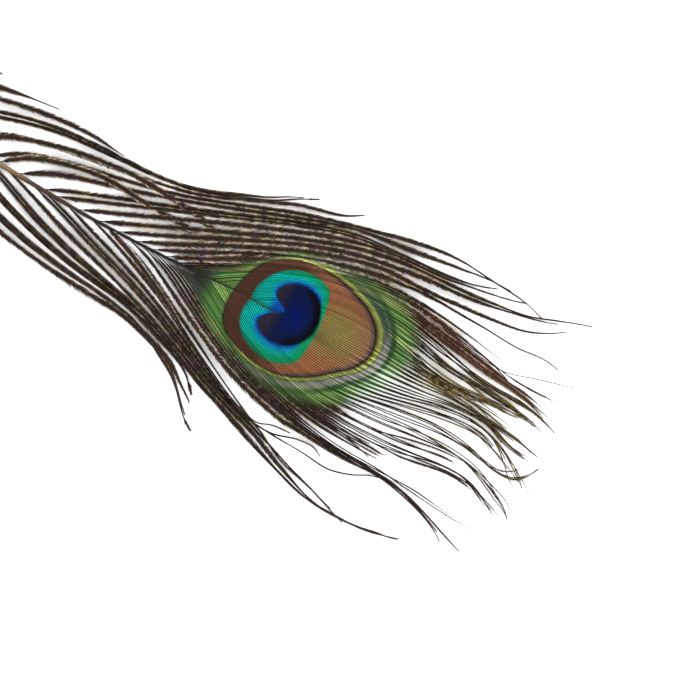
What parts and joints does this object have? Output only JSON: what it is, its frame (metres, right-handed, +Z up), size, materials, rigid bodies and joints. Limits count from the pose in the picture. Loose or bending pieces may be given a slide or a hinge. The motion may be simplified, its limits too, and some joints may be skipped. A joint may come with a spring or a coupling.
{
  "type": "peacock feather",
  "caption": "Short peacock tail feather lying face up: a tapered shaft with a bare quill, loose herl barbs, and a patterned eye of hooked barbs with a ragged tip fringe.",
  "frame": {"origin": "on the resting surface, under the shaft, at the centre of the eye's blue disc", "axes": "+X along the shaft towards the tip, +Y to the feather's left, +Z up out of its face"},
  "size_m": [0.2776, 0.0828, 0.0031],
  "materials": {
    "shaft": "horn-like keratin, cream at the quill and brown at the tip, satin",
    "loose_barbs": "dark brown feather barbs with copper and green glints",
    "eye_barbs": "iridescent feather web: navy, blue, turquoise, bronze and yellow-green rings"
  },
  "bodies": {
    "root": {"eye_barbs_left_01": "eye_barbs", "eye_barbs_left_02": "eye_barbs", "eye_barbs_left_03": "eye_barbs", "eye_barbs_left_04": "eye_barbs", "eye_barbs_left_05": "eye_barbs", "eye_barbs_left_06": "eye_barbs", "eye_barbs_left_07": "eye_barbs", "eye_barbs_left_08": "eye_barbs", "eye_barbs_right_01": "eye_barbs", "eye_barbs_right_02": "eye_barbs", "eye_barbs_right_03": "eye_barbs", "eye_barbs_right_04": "eye_barbs", "eye_barbs_right_05": "eye_barbs", "eye_barbs_right_06": "eye_barbs", "eye_barbs_right_07": "eye_barbs", "eye_barbs_right_08": "eye_barbs", "eye_barbs_right_09": "eye_barbs", "eye_barbs_right_10": "eye_barbs", "loose_barbs_left_01": "loose_barbs", "loose_barbs_left_02": "loose_barbs", "loose_barbs_left_03": "loose_barbs", "loose_barbs_left_04": "loose_barbs", "loose_barbs_left_05": "loose_barbs", "loose_barbs_left_06": "loose_barbs", "loose_barbs_left_07": "loose_barbs", "loose_barbs_left_08": "loose_barbs", "loose_barbs_left_09": "loose_barbs", "loose_barbs_left_10": "loose_barbs", "loose_barbs_left_11": "loose_barbs", "loose_barbs_left_12": "loose_barbs", "loose_barbs_left_13": "loose_barbs", "loose_barbs_right_01": "loose_barbs", "loose_barbs_right_02": "loose_barbs", "loose_barbs_right_03": "loose_barbs", "loose_barbs_right_04": "loose_barbs", "loose_barbs_right_05": "loose_barbs", "loose_barbs_right_06": "loose_barbs", "loose_barbs_right_07": "loose_barbs", "loose_barbs_right_08": "loose_barbs", "loose_barbs_right_09": "loose_barbs", "loose_barbs_right_10": "loose_barbs", "loose_barbs_right_11": "loose_barbs", "loose_barbs_right_12": "loose_barbs", "loose_barbs_right_13": "loose_barbs", "shaft": "shaft"}
  },
  "joints": []
}
